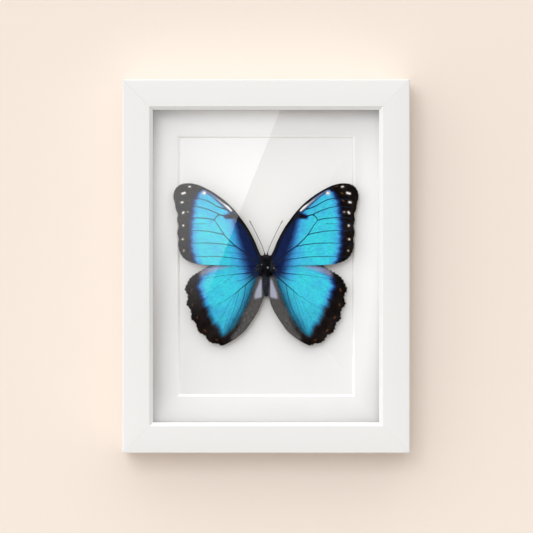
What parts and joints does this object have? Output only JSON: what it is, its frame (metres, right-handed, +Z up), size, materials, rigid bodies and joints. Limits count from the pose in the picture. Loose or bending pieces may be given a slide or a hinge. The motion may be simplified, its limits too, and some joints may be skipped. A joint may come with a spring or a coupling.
{
  "type": "framed butterfly specimen",
  "caption": "Blue butterfly pinned in a glazed white shadow-box frame with a bevelled window mat and a hanger on its back.",
  "frame": {"origin": "point on the wall plane where a nail carries the sawtooth hanger, centred in the frame's width", "axes": "+Z up, +X to the right as seen from the front, +Y back into the wall; the front of the frame faces -Y"},
  "size_m": [0.16, 0.03, 0.208],
  "materials": {
    "frame_paint": "satin white paint on wood moulding",
    "glass": "clear picture glass",
    "spacer_card": "matt white foam card",
    "mat_card": "matt white mat board with a white core",
    "backing_card": "matt white foam board",
    "hardboard": "brown pressed hardboard",
    "tab_steel": "zinc-plated sheet steel",
    "hanger_steel": "brass-plated sheet steel",
    "forewing_scales": "iridescent blue wing scales with a black border",
    "hindwing_scales": "iridescent blue-green wing scales with a black border",
    "body_fur": "dry black body with fine hair",
    "antenna_brown": "thin dark brown antenna",
    "pin_steel": "polished steel pin"
  },
  "bodies": {
    "root": {"frame_rail_top": "frame_paint", "frame_rail_bottom": "frame_paint", "frame_stile_left": "frame_paint", "frame_stile_right": "frame_paint", "glass_pane": "glass", "spacer_top": "spacer_card", "spacer_bottom": "spacer_card", "spacer_left": "spacer_card", "spacer_right": "spacer_card", "window_mat": "mat_card", "backing_board": "backing_card", "back_panel": "hardboard", "flex_tab_top": "tab_steel", "flex_tab_bottom": "tab_steel", "flex_tab_left_upper": "tab_steel", "flex_tab_left_lower": "tab_steel", "flex_tab_right_upper": "tab_steel", "flex_tab_right_lower": "tab_steel", "hanger_plate": "hanger_steel", "hanger_rivet_left": "hanger_steel", "hanger_rivet_right": "hanger_steel", "forewing_left": "forewing_scales", "forewing_right": "forewing_scales", "hindwing_left": "hindwing_scales", "hindwing_right": "hindwing_scales", "butterfly_body": "body_fur", "antenna_left": "antenna_brown", "antenna_right": "antenna_brown", "insect_pin": "pin_steel"}
  },
  "joints": []
}
